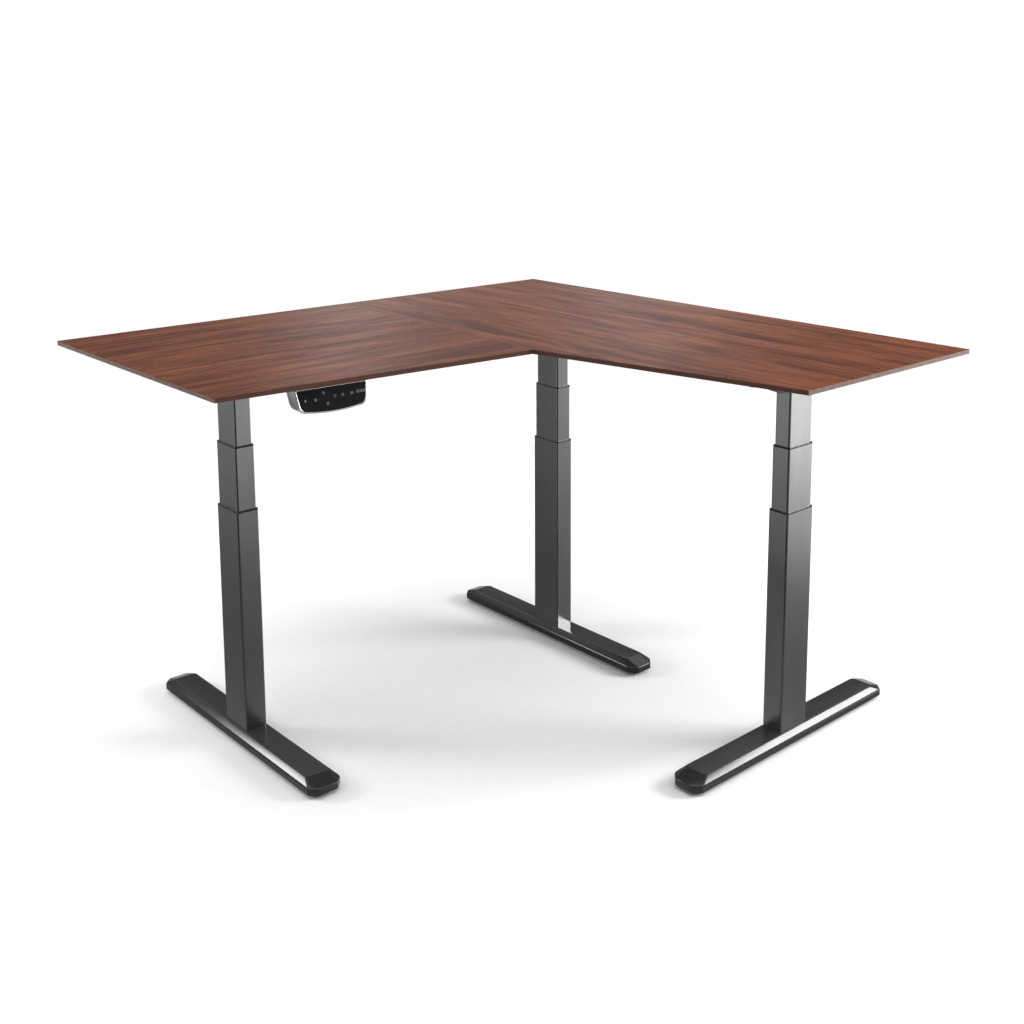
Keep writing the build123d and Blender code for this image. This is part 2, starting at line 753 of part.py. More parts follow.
def make_mains_inlet():
    """Recessed three-pin inlet in the end wall of the control box."""
    face = Plane(origin=(inlet_x, box_y[0], motor_z), x_dir=(1, 0, 0), z_dir=(0, -1, 0))
    with BuildPart() as inlet:
        with BuildSketch(face):
            RectangleRounded(31, 23, 2)
        extrude(amount=2)
        with BuildSketch(face):
            RectangleRounded(27, 19, 2)
        extrude(amount=-20)
        with BuildSketch(face.offset(2)):
            with BuildLine():
                Polyline((-12, -8), (12, -8), (12, 4), (8, 8), (-8, 8), (-12, 4), close=True)
            make_face()
        extrude(amount=-18, mode=Mode.SUBTRACT)
        with BuildSketch(face.offset(-16.5)):
            with Locations((-7, -2), (0, 2), (7, -2)):
                Rectangle(2, 4)
        extrude(amount=14)
    save(inlet.part, "mains_inlet")


# ---------------------------------------------------------------- handset
handset_normal = handset_out * cos(radians(handset_tilt)) + Vector(0, 0, 1) * sin(radians(handset_tilt))
handset_plane = Plane(origin=handset_origin, x_dir=inner_edge, z_dir=handset_normal)


def handset_outline(inset):
    """Straight top, leaning sides, round lower corners and a bowed lower edge."""
    half = handset_half_width - inset
    low = -handset_height + inset
    with BuildSketch(handset_plane) as outline:
        with BuildLine():
            left_side = Line((-half, -inset), (-half + side_lean, low + corner_rise))
            bow_end = half - corner_run
            bow = ThreePointArc((-bow_end, low + lower_bow), (0, low), (bow_end, low + lower_bow))
            right_side = Line((half - side_lean, low + corner_rise), (half, -inset))
            Spline(left_side @ 1, bow @ 0, tangents=[left_side % 1, bow % 0])
            Spline(bow @ 1, right_side @ 0, tangents=[bow % 1, right_side % 0])
            Line(right_side @ 1, left_side @ 0)
        make_face()
    return outline.sketch


def make_handset():
    inward = -handset_out
    with BuildPart() as body:
        extrude(handset_outline(0), amount=handset_depth, dir=inward)
        cavity_depth = handset_depth - handset_wall
        extrude(handset_outline(handset_wall), amount=cavity_depth, dir=inward, mode=Mode.SUBTRACT)
        with BuildSketch(Plane.XY.offset(frame_top - handset_wall - 2)):
            with Locations(*handset_holes):
                Circle(wood_screw_radius + 0.3)
        extrude(amount=handset_wall + 3, mode=Mode.SUBTRACT)
        # cable outlet in the rear wall
        rear = handset_origin - handset_out * (handset_depth + 4)
        with BuildSketch(Plane(origin=(rear.X, rear.Y, motor_z), z_dir=handset_out)):
            Circle(cable_radius + 0.5)
        extrude(amount=10, mode=Mode.SUBTRACT)
    save(body.part, "handset_body")

    with BuildPart() as panel:
        extrude(handset_outline(handset_wall + 0.1), amount=panel_thickness, dir=inward)
    save(panel.part, "handset_panel")


# ---------------------------------------------------------------- cables
def cable(points, bend):
    """One cable: straight runs joined by tangent arcs, all at the motors' height."""
    with BuildPart() as run:
        with BuildLine() as route:
            FilletPolyline(*[(x, y, motor_z) for x, y in points], radius=bend)
        with BuildSketch(Plane(origin=route.line @ 0, z_dir=route.line % 0)):
            Circle(cable_radius)
        sweep(path=route.line)
    return run.part


def make_cables():
    """Motor and handset cables with the plugs that sit in the control box's sockets."""
    reach = gearbox_size[1] / 2 + motor_length + motor_cap
    left_x, left_y = leg_point("left", 0, reach)
    corner_x, corner_y = leg_point("corner", 0, reach)
    right_x, right_y = leg_point("right", 0, reach)
    front = box_y[0] - 8
    back = box_y[1] + 8
    handset_exit = handset_origin - handset_out * (handset_depth - 1)
    routes = [
        [(left_x, left_y), (left_x, -300), (left_socket_x, -215), (left_socket_x, front)],
        [(corner_x, corner_y), (corner_x, corner_y + 26), (corner_cable_x, corner_y + 26),
         (corner_cable_x, 220), (corner_socket_x, 165), (corner_socket_x, back)],
        [(right_x, right_y), (-180, right_y), (-180, 285), (right_socket_x, 285),
         (right_socket_x, back)],
        [(handset_exit.X, handset_exit.Y), (-75, handset_exit.Y), (-75, -375), (-160, -375),
         (-160, -230), (handset_socket_x, -230), (handset_socket_x, front)],
    ]
    with BuildPart() as cables:
        for points in routes:
            add(cable(points, cable_bend))
        plug_plane = Plane(origin=(0, box_y[0] + 6, motor_z), x_dir=(1, 0, 0), z_dir=(0, -1, 0))
        with BuildSketch(plug_plane):
            with Locations((left_socket_x, 0), (handset_socket_x, 0)):
                Rectangle(socket_size[0] - 0.4, socket_size[1] - 0.4)
        extrude(amount=socket_size[2])
        plug_plane = Plane(origin=(0, box_y[1] - 6, motor_z), x_dir=(1, 0, 0), z_dir=(0, -1, 0))
        with BuildSketch(plug_plane):
            with Locations((corner_socket_x, 0), (right_socket_x, 0)):
                Rectangle(socket_size[0] - 0.4, socket_size[1] - 0.4)
        extrude(amount=-socket_size[2])
    save(cables.part, "cables")


def make_cable_clips():
    """Saddle clips that hold the cables up under the top."""
    with BuildPart() as cable_clips:
        for (x, y, along_x), (hole_x, hole_y) in zip(clips, clip_holes):
            base_x, base_y = (x + hole_x) / 2, (y + hole_y) / 2
            base = (14, 25) if along_x else (25, 14)
            with BuildSketch(Plane.XY.offset(frame_top - sheet)):
                with Locations((base_x, base_y)):
                    Rectangle(*base)
            extrude(amount=sheet)
            with BuildSketch(Plane.XY.offset(motor_z - cable_radius - 2.5)):
                with Locations((x, y)):
                    Rectangle(12 if along_x else 9.5, 9.5 if along_x else 12)
            extrude(amount=frame_top - motor_z + cable_radius + 2.5)
            with BuildSketch(Plane.XY.offset(frame_top - sheet)):
                with Locations((hole_x, hole_y)):
                    Circle(wood_screw_radius + 0.3)
            extrude(amount=sheet, mode=Mode.SUBTRACT)
            way = (1, 0, 0) if along_x else (0, 1, 0)
            start = Vector(x, y, motor_z) - Vector(*way) * 8
            with BuildSketch(Plane(origin=start, z_dir=way)):
                Circle(cable_radius + 0.05)
            extrude(amount=16, mode=Mode.SUBTRACT)
    save(cable_clips.part, "cable_clips")


# ---------------------------------------------------------------- the whole desk
make_tabletop()
make_joining_plates()
for leg_name in legs:
    make_foot(leg_name)
    make_levellers(leg_name)
    make_base_bolts(leg_name)
    make_outer_tube(leg_name)
    make_collar(leg_name, "outer", outer_size, outer_wall, middle_size, outer_rim)
    make_middle_tube(leg_name)
    make_collar(leg_name, "middle", middle_size, tube_wall, inner_size, middle_rim)
    make_inner_tube(leg_name)
    make_drive(leg_name)
    make_motor(leg_name)
make_arm_bracket("left")
make_arm_bracket("right")
make_corner_tray()
make_rails("return_rails", return_rail_ends, False, (return_rails_x + rail_half_spacing, -230))
make_rails("long_rails", long_rail_ends, True, None)
make_frame_bolts()
make_wood_screws()
make_control_box()
make_mains_inlet()
make_handset()
make_cables()
make_cable_clips()
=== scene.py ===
"""Looks of the height adjustable corner desk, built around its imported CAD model.

Metres, in the row frame: the floor is z = 0, the long wing runs along +X at the back,
the return wing along -Y at the left, and the sitter looks from (+X, -Y) to the corner.
"""
import json
from math import cos, pi, radians, sin

import bmesh
import bpy
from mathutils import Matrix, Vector


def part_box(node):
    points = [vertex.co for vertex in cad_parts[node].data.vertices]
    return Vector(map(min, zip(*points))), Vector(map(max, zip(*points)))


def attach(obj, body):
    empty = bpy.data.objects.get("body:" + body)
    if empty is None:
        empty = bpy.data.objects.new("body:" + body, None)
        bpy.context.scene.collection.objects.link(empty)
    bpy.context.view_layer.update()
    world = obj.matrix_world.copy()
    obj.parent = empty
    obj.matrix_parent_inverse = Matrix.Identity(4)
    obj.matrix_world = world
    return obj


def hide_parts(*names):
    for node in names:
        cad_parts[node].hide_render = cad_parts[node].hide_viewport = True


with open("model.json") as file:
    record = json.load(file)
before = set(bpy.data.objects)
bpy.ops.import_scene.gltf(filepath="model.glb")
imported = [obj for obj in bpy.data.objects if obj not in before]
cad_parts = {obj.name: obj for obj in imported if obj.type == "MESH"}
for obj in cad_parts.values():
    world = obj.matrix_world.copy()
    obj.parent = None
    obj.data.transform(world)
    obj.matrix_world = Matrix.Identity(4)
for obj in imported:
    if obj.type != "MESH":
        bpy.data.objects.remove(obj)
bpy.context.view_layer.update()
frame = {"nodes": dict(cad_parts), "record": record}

LEGS = ("left", "corner", "right")


# ---------------------------------------------------------------- camera
CAMERA_PLACE = (2.0613, -1.7443, 1.3904)
CAMERA_HEADING = 137.656        # degrees from +X towards +Y
CAMERA_DROP = 9.147             # degrees below the horizon
CAMERA_LENS = 44.665            # millimetres, on a 36 mm sensor
CAMERA_SHIFT = (-0.0387, -0.2099)


def add_camera():
    data = bpy.data.cameras.new("photo_camera")
    data.lens = CAMERA_LENS
    data.sensor_width = 36
    data.shift_x, data.shift_y = CAMERA_SHIFT
    camera = bpy.data.objects.new("photo_camera", data)
    camera.location = CAMERA_PLACE
    camera.rotation_euler = (radians(90 - CAMERA_DROP), 0, radians(CAMERA_HEADING - 90))
    bpy.context.scene.collection.objects.link(camera)
    bpy.context.scene.camera = camera


# ---------------------------------------------------------------- node graphs
class Graph:
    """Adds and links shader nodes with short calls."""

    def __init__(self, tree):
        self.tree = tree

    def add(self, kind, inputs=None, **settings):
        node = self.tree.nodes.new("ShaderNode" + kind)
        for key, value in settings.items():
            setattr(node, key, value)
        for key, value in (inputs or {}).items():
            self.put(node.inputs[key], value)
        return node

    def put(self, socket, value):
        if isinstance(value, bpy.types.NodeSocket):
            self.tree.links.new(value, socket)
        else:
            socket.default_value = value

    def math(self, operation, first, second=0.0):
        return self.add("Math", {0: first, 1: second}, operation=operation).outputs[0]

    def remap(self, value, low, high, to_low=0.0, to_high=1.0):
        inputs = {
            "Value": value, "From Min": low, "From Max": high,
            "To Min": to_low, "To Max": to_high,
        }
        return self.add("MapRange", inputs).outputs["Result"]

    def noise(self, vector, scale, detail=2.0, roughness=0.5, distortion=0.0):
        inputs = {
            "Vector": vector, "Scale": scale, "Detail": detail,
            "Roughness": roughness, "Distortion": distortion,
        }
        return self.add("TexNoise", inputs).outputs["Fac"]

    def ramp(self, factor, stops):
        """Colours along a factor, from (place, (red, green, blue)) stops."""
        node = self.add("ValToRGB", {"Fac": factor})
        elements = node.color_ramp.elements
        while len(elements) < len(stops):
            elements.new(0.5)
        for element, (place, colour) in zip(elements, stops):
            element.position = place
            element.color = (*colour, 1.0)
        return node.outputs["Color"]

    def mix(self, factor, first, second, blend="MIX"):
        node = self.add("Mix", {"Factor": factor}, data_type="RGBA", blend_type=blend)
        for index, value in ((6, first), (7, second)):
            self.put(node.inputs[index], value if isinstance(value, bpy.types.NodeSocket) else (*value, 1.0))
        return node.outputs[2]

    def bump(self, height, distance, strength=1.0):
        inputs = {"Height": height, "Distance": distance, "Strength": strength}
        return self.add("Bump", inputs).outputs["Normal"]

    def place(self, stretch=(1.0, 1.0, 1.0), turn=0.0):
        """Object coordinates, in metres, turned about +Z and then stretched."""
        place = self.add("TexCoord").outputs["Object"]
        if turn:
            rotated = self.add("VectorRotate", {"Vector": place, "Angle": turn}, rotation_type="Z_AXIS")
            place = rotated.outputs["Vector"]
        return self.add("Mapping", {"Vector": place, "Scale": stretch}).outputs["Vector"]


class Finish(Graph):
    """A material with one Principled shader."""

    def __init__(self, name, **constants):
        self.material = bpy.data.materials.new(name)
        self.material.use_nodes = True
        super().__init__(self.material.node_tree)
        self.shader = self.tree.nodes["Principled BSDF"]
        for key, value in constants.items():
            self.set(key, value)

    def set(self, key, value):
        name = key.replace("_", " ").title().replace("Ior", "IOR")
        if name == "Base Color" and not isinstance(value, bpy.types.NodeSocket):
            value = (*value, 1.0)
        self.put(self.shader.inputs[name], value)


# ---------------------------------------------------------------- materials
WALNUT_STOPS = [
    (0.38, (0.078, 0.021, 0.010)),
    (0.45, (0.132, 0.035, 0.015)),
    (0.50, (0.188, 0.051, 0.021)),
    (0.56, (0.232, 0.069, 0.029)),
    (0.66, (0.305, 0.104, 0.046)),
]
WALNUT_LINE = (0.060, 0.020, 0.012)
# side colours with painted light: a painted shade for the sides along the wings, and a paler, greyer painted
# reflection for the wings' ends
WALNUT_SIDE_PAINTED_SHADE = (0.082, 0.040, 0.029)
WALNUT_END_PAINTED_LIGHT = (0.200, 0.145, 0.120)
PAINTED_LIGHT_EDGE = 0.6985          # beyond this distance from the middle, a side is an end band and gets the paler painted reflection


def walnut(name, grain_turn, seed):
    """Walnut veneer with its grain along X after a turn about +Z, and edge bands on its sides: dark with
    painted shade along the wings, paler with a painted reflection at the wings' ends.
    """
    finish = Finish(name, specular_ior_level=0.12)
    start = finish.place(turn=grain_turn)
    offset = finish.add("VectorMath", {0: start, 1: (seed, seed * 0.7, 0.0)}).outputs[0]

    def stretched(along, across):
        return finish.add("Mapping", {"Vector": offset, "Scale": (along, across, across)}).outputs["Vector"]

    drift = finish.noise(stretched(0.9, 3.0), 1.0, 2.0)
    figure = finish.noise(stretched(1.7, 14.0), 1.5, 4.0, 0.55, 1.0)
    streaks = finish.noise(stretched(3.4, 70.0), 1.5, 4.0, 0.62, 0.5)
    rings = finish.noise(stretched(2.6, 26.0), 1.2, 3.0, 0.5, 1.8)
    fibres = finish.noise(stretched(9.0, 420.0), 1.0, 3.0, 0.6)
    pores = finish.noise(stretched(28.0, 900.0), 1.0, 2.0, 0.5)
    tone = finish.math("MULTIPLY", figure, 0.46)
    for layer, share in ((streaks, 0.36), (drift, 0.18)):
        tone = finish.math("ADD", tone, finish.math("MULTIPLY", layer, share))
    colour = finish.ramp(tone, WALNUT_STOPS)
    # thin dark growth lines, where the ring noise passes its middle
    ring_line = finish.math("ABSOLUTE", finish.math("SUBTRACT", rings, 0.5))
    colour = finish.mix(finish.remap(ring_line, 0.0, 0.022, 0.55, 0.0), colour, WALNUT_LINE)
    fibre_shade = finish.remap(fibres, 0.35, 0.70, 0.80, 1.10)
    pore_shade = finish.remap(pores, 0.30, 0.42, 0.72, 1.0)
    shade = finish.math("MULTIPLY", fibre_shade, pore_shade)
    shade_colour = finish.add("CombineColor", {0: shade, 1: shade, 2: shade}).outputs[0]
    colour = finish.mix(1.0, colour, shade_colour, "MULTIPLY")

    # edge bands: painted shade makes the sides along the wings dark, and a painted reflection makes the
    # sides across the wings' ends paler and greyer
    place = finish.add("SeparateXYZ", {0: finish.place()})
    normal = finish.add("SeparateXYZ", {0: finish.add("NewGeometry").outputs["True Normal"]})
    upright = finish.math("LESS_THAN", finish.math("ABSOLUTE", normal.outputs["Z"]), 0.4)
    right_end = finish.math("GREATER_THAN", place.outputs["X"], PAINTED_LIGHT_EDGE)
    front_end = finish.math("LESS_THAN", place.outputs["Y"], -PAINTED_LIGHT_EDGE)
    # the wings' ends, whose sides get the paler painted reflection instead of the painted shade
    end = finish.math("MAXIMUM", right_end, front_end)
    speckle = finish.noise(finish.place((60.0, 60.0, 300.0)), 1.0, 3.0)
    side_painted_shade_and_light = finish.mix(end, WALNUT_SIDE_PAINTED_SHADE, WALNUT_END_PAINTED_LIGHT)
    side_painted_shade_and_light = finish.mix(finish.remap(speckle, 0.3, 0.7, 0.0, 0.5), side_painted_shade_and_light, WALNUT_LINE)
    finish.set("base_color", finish.mix(upright, colour, side_painted_shade_and_light))
    finish.set("roughness", finish.remap(figure, 0.35, 0.70, 0.28, 0.22))
    height = finish.math("ADD", fibres, finish.math("MULTIPLY", pores, 0.8))
    finish.set("normal", finish.bump(height, 0.00012, 0.5))
    return finish.material


def satin_paint(name, colour, metallic, roughness, grain=0.00002, **constants):
    """Powder coat or metallic lacquer: tiny orange peel, and uneven gloss."""
    finish = Finish(name, metallic=metallic, **constants)
    peel = finish.noise(finish.place(), 900.0, 2.0)
    patches = finish.noise(finish.place((1.0, 1.0, 0.35)), 9.0, 3.0)
    tint = finish.remap(patches, 0.3, 0.7, 0.93, 1.06)
    tint_colour = finish.add("CombineColor", {0: tint, 1: tint, 2: tint}).outputs[0]
    finish.set("base_color", finish.mix(1.0, colour, tint_colour, "MULTIPLY"))
    finish.set("roughness", finish.remap(patches, 0.3, 0.7, roughness + 0.03, roughness - 0.03))
    finish.set("normal", finish.bump(peel, grain, 0.5))
    return finish.material


def moulded_plastic(name, colour, roughness, grain=0.00005):
    """Fine spark-eroded texture."""
    finish = Finish(name)
    cells = finish.noise(finish.place(), 1400.0, 3.0, 0.6)
    wear = finish.noise(finish.place(), 24.0, 3.0)
    worn = tuple(min(1.0, channel * 1.5 + 0.004) for channel in colour)
    finish.set("base_color", finish.mix(finish.remap(wear, 0.45, 0.75, 0.0, 0.6), colour, worn))
    finish.set("roughness", finish.remap(cells, 0.3, 0.7, roughness - 0.05, roughness + 0.08))
    finish.set("normal", finish.bump(cells, grain, 0.6))
    return finish.material


def zinc_steel(name):
    """Zinc plated steel: bright spangled patches with fine drawing lines."""
    finish = Finish(name, metallic=1.0)
    spangle = finish.noise(finish.place(), 160.0, 2.0)
    lines = finish.noise(finish.place((60.0, 60.0, 2200.0)), 1.0, 2.0)
    finish.set("base_color", finish.ramp(spangle, [(0.3, (0.42, 0.43, 0.44)), (0.7, (0.66, 0.67, 0.66))]))
    finish.set("roughness", finish.remap(lines, 0.3, 0.7, 0.24, 0.42))
    finish.set("normal", finish.bump(lines, 0.00003, 0.4))
    return finish.material


def circuit_board(name):
    """Solder mask with paler tracks."""
    finish = Finish(name, roughness=0.35)
    tracks = finish.add("TexBrick", {
        "Vector": finish.place(), "Scale": 120.0, "Mortar Size": 0.06,
        "Color1": (0.012, 0.075, 0.030, 1.0), "Color2": (0.010, 0.060, 0.026, 1.0),
        "Mortar": (0.10, 0.21, 0.07, 1.0),
    })
    finish.set("base_color", tracks.outputs["Color"])
    return finish.material


def silver_plastic(name):
    """Silver lacquer on plastic, with a fine metallic sparkle."""
    finish = Finish(name, metallic=0.85)
    flakes = finish.noise(finish.place(), 2600.0, 1.0)
    finish.set("base_color", finish.ramp(flakes, [(0.3, (0.50, 0.51, 0.53)), (0.7, (0.68, 0.69, 0.71))]))
    finish.set("roughness", finish.remap(flakes, 0.3, 0.7, 0.22, 0.30))
    finish.set("normal", finish.bump(flakes, 0.00001, 0.3))
    return finish.material


def gloss_panel(name):
    """Black gloss touch panel with faint smudges."""
    finish = Finish(name, specular_ior_level=0.5, coat_weight=0.3, coat_roughness=0.04)
    smudges = finish.noise(finish.place(), 45.0, 4.0, 0.6)
    finish.set("base_color", finish.mix(smudges, (0.006, 0.006, 0.007), (0.012, 0.012, 0.013)))
    finish.set("roughness", finish.remap(smudges, 0.45, 0.75, 0.06, 0.16))
    return finish.material


def mark_print(name):
    """Pale grey ink, slightly uneven."""
    finish = Finish(name, roughness=0.35, specular_ior_level=0.3)
    cover = finish.noise(finish.place(), 900.0, 2.0)
    finish.set("base_color", finish.mix(cover, (0.16, 0.17, 0.18), (0.26, 0.27, 0.28)))
    return finish.material


def make_materials():
    return {
        "leg_coat": satin_paint("leg_coat", (0.350, 0.345, 0.338), 1.0, 0.20),
        "foot_coat": satin_paint(
            "foot_coat", (0.026, 0.026, 0.025), 0.0, 0.20, 0.000006, specular_ior_level=0.40,
        ),
        "frame_coat": satin_paint("frame_coat", (0.045, 0.045, 0.046), 0.0, 0.55, 0.00006),
        "guide_plastic": moulded_plastic("guide_plastic", (0.012, 0.012, 0.012), 0.45),
        "pad_plastic": moulded_plastic("pad_plastic", (0.014, 0.014, 0.014), 0.60),
        "zinc_steel": zinc_steel("zinc_steel"),
        "motor_case": satin_paint("motor_case", (0.022, 0.022, 0.024), 0.0, 0.38, 0.00004),
        "box_plastic": moulded_plastic("box_plastic", (0.020, 0.020, 0.021), 0.50, 0.00008),
        "circuit_board": circuit_board("circuit_board"),
        "handset_silver": silver_plastic("handset_silver"),
        "handset_glass": gloss_panel("handset_glass"),
        "cable_jacket": moulded_plastic("cable_jacket", (0.016, 0.016, 0.016), 0.55),
        "mark_print": mark_print("mark_print"),
    }


def dress_nodes(materials):
    """Every carried-over CAD node gets the material of its record slot."""
    boards = {
        "tabletop_long": walnut("walnut_long", 0.0, 3.7),
        "tabletop_return": walnut("walnut_return", pi / 2, 8.1),
    }
    for subpart in frame["record"]["subparts"]:
        node = subpart["node"]
        material = boards.get(node) or materials[subpart["material_slot"]]
        for slot in frame["nodes"][node].material_slots:
            slot.material = material


# ---------------------------------------------------------------- mesh helpers
def copied_mesh(node):
    """The CAD node's mesh as whole polygons, without its triangle seams."""
    mesh = bmesh.new()
    mesh.from_mesh(frame["nodes"][node].data)
    bmesh.ops.remove_doubles(mesh, verts=mesh.verts, dist=1e-6)
    bmesh.ops.dissolve_limit(
        mesh, angle_limit=radians(1), verts=mesh.verts, edges=mesh.edges,
    )
    return mesh


def finished(mesh, name, body, material, smooth_angle=40):
    """Turns a bmesh into a piece that rides on a body."""
    data = bpy.data.meshes.new(name)
    mesh.to_mesh(data)
    mesh.free()
    piece = bpy.data.objects.new(name, data)
    bpy.context.scene.collection.objects.link(piece)
    data.materials.append(material)
    data.shade_smooth()
    data.set_sharp_from_angle(angle=radians(smooth_angle))
    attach(piece, body)
    return piece


# ---------------------------------------------------------------- feet
FOOT_BAND_TOP = 0.024           # where the upright side turns into the bevel
FOOT_ROUNDING = 0.0024
ROUNDING_STEPS = 4
LONG_EDGE = 0.006               # shorter edges belong to holes


def soft_foot(leg, materials):
    """The CAD foot with its outer edges rounded, as pressed and painted sheet has them."""
    node = f"{leg}_foot"
    mesh = copied_mesh(node)
    outer = [
        edge for edge in mesh.edges
        if len(edge.link_faces) == 2 and edge.is_convex
        and edge.calc_length() > LONG_EDGE
        and edge.calc_face_angle(0) > radians(8)
        and max(v.co.z for v in edge.verts) > FOOT_BAND_TOP - 1e-4
    ]
    bmesh.ops.bevel(
        mesh, geom=outer, offset=FOOT_ROUNDING, segments=ROUNDING_STEPS, profile=0.5,
        affect="EDGES", clamp_overlap=True,
    )
    piece = finished(mesh, f"{leg}_foot_cover", f"{leg}_base", materials["foot_coat"], 25)
    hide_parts(node)


# ---------------------------------------------------------------- handset
EDGE_RUN = Vector((0.056, 0.710, 0)).normalized()    # along the return wing's inner edge
EDGE_OUT = Vector((EDGE_RUN.y, -EDGE_RUN.x, 0))      # from that edge towards the sitter
HANDSET_TILT = radians(12)
HANDSET_HALF = 0.077
HANDSET_HEIGHT = 0.052
HANDSET_DEPTH = 0.044
SIDE_LEAN = 0.004
CORNER_RISE = 0.019
CORNER_RUN = 0.020
LOWER_BOW = 0.004
RIM_WIDTH = 0.0030
PANEL_SINK = 0.0006             # the glass lies this far behind the rim
OUTLINE_STEPS = 12              # points along each curved stretch of the outline
TOP_ROUND = 0.0025              # radius of the face's two top corners
TOP_ROUND_STEPS = 4
GLASS_GAP = 0.0002              # between the glass and the rim round it

# sections of the shell from its back to the rim: (inset from the outline, distance forward)
SHELL_SECTIONS = [
    (0.0060, -HANDSET_DEPTH), (0.0025, -HANDSET_DEPTH + 0.0012), (0.0006, -HANDSET_DEPTH + 0.0045),
    (0.0006, -0.0120), (0.0002, -0.0100), (0.0, -0.0080), (0.0, -0.0026), (0.0003, -0.0012),
    (0.0009, -0.0004), (0.0016, 0.0), (RIM_WIDTH - 0.0006, 0.0), (RIM_WIDTH, -0.0003),
    (RIM_WIDTH, -0.0022),
]
# sections of the glass, from its back to its face
GLASS_SECTIONS = [
    (RIM_WIDTH + GLASS_GAP, -0.0021), (RIM_WIDTH + GLASS_GAP, -PANEL_SINK - 0.0004),
    (RIM_WIDTH + GLASS_GAP + 0.0004, -PANEL_SINK),
]


class HandsetFrame:
    """Places points given as (along the edge, up the face, forward) on the tilted face."""

    def __init__(self):
        low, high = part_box("handset_body")
        self.up = (EDGE_OUT * cos(HANDSET_TILT) + Vector((0, 0, sin(HANDSET_TILT)))).cross(EDGE_RUN)
        # the body's lowest x is its back near the front end, its lowest y the front end of its face
        self.origin = Vector((
            low[0] + EDGE_OUT.x * HANDSET_DEPTH + EDGE_RUN.x * HANDSET_HALF,
            low[1] + EDGE_RUN.y * HANDSET_HALF,
            high[2],
        ))

    def at(self, along, up, forward=0.0):
        return self.origin + EDGE_RUN * along + self.up * up + EDGE_OUT * forward


def handset_outline(inset):
    """(along, up) points round the face, anticlockwise: straight top, leaning sides, bowed lower edge."""
    half = HANDSET_HALF - inset
    low = -HANDSET_HEIGHT + inset
    side = Vector((half - SIDE_LEAN, low + CORNER_RISE))
    bow_end = Vector((half - CORNER_RUN, low + LOWER_BOW))
    corner = Vector((half - SIDE_LEAN - 0.003, low + LOWER_BOW * 0.9))
    points = []
    for step in range(OUTLINE_STEPS + 1):
        t = step / OUTLINE_STEPS
        points.append(side * (1 - t) ** 2 + corner * 2 * t * (1 - t) + bow_end * t * t)
    right = list(points)
    for step in range(1, OUTLINE_STEPS):
        along = bow_end.x * (1 - 2 * step / OUTLINE_STEPS)
        points.append(Vector((along, low + LOWER_BOW * (along / bow_end.x) ** 2)))
    points += [Vector((-point.x, point.y)) for point in reversed(right)]
    for end in (-1, 1):
        for step in range(TOP_ROUND_STEPS + 1):
            angle = pi / 2 * step / TOP_ROUND_STEPS
            if end < 0:
                along = -half + TOP_ROUND * (1 - cos(angle))
                up = -inset - TOP_ROUND * (1 - sin(angle))
            else:
                along = half - TOP_ROUND * (1 - sin(angle))
                up = -inset - TOP_ROUND * (1 - cos(angle))
            points.append(Vector((along, up)))
    return points


def skin_rings(mesh, rings):
    """Quads between closed rings of points, with flat ends."""
    loops = [[mesh.verts.new(point) for point in ring] for ring in rings]
    for lower, upper in zip(loops, loops[1:]):
        for index in range(len(lower)):
            after = (index + 1) % len(lower)
            mesh.faces.new((lower[index], lower[after], upper[after], upper[index]))
    mesh.faces.new(list(reversed(loops[0])))
    mesh.faces.new(loops[-1])
    bmesh.ops.recalc_face_normals(mesh, faces=mesh.faces)


def sectioned_piece(place, sections, name, material):
    """A solid skinned over sections of the handset's outline, riding on the desktop."""
    mesh = bmesh.new()
    skin_rings(mesh, [
        [place.at(point.x, point.y, forward) for point in handset_outline(inset)]
        for inset, forward in sections
    ])
    return finished(mesh, name, "desk_top", material, 35)


def add_handset(materials):
    place = HandsetFrame()
    shell = sectioned_piece(
        place, SHELL_SECTIONS, "handset_shell", materials["handset_silver"],
    )
    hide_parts("handset_body")
    glass = sectioned_piece(
        place, GLASS_SECTIONS, "handset_glass", materials["handset_glass"],
    )
    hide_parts("handset_panel")
    add_marks(place, materials)


# marks on the touch panel: (shape, along, up) from the middle of the face's top edge
MARKS = [
    ("down", -0.057, -0.024), ("up", -0.036, -0.024), ("ring", -0.018, -0.013), ("ring", -0.011, -0.034),
    ("one", 0.005, -0.022), ("two", 0.022, -0.022), ("three", 0.042, -0.0215),
]
MARK_SIZE = 0.0026
MARK_LIFT = 0.00008             # the ink stands this far proud of the glass
DISPLAY_START = 0.0545          # middle of the display's first digit, along the face
DISPLAY_LEVEL = -0.0200
DIGIT_PITCH = 0.0068
DIGIT_HALF = 0.0017
DIGIT_RISE = 0.0026


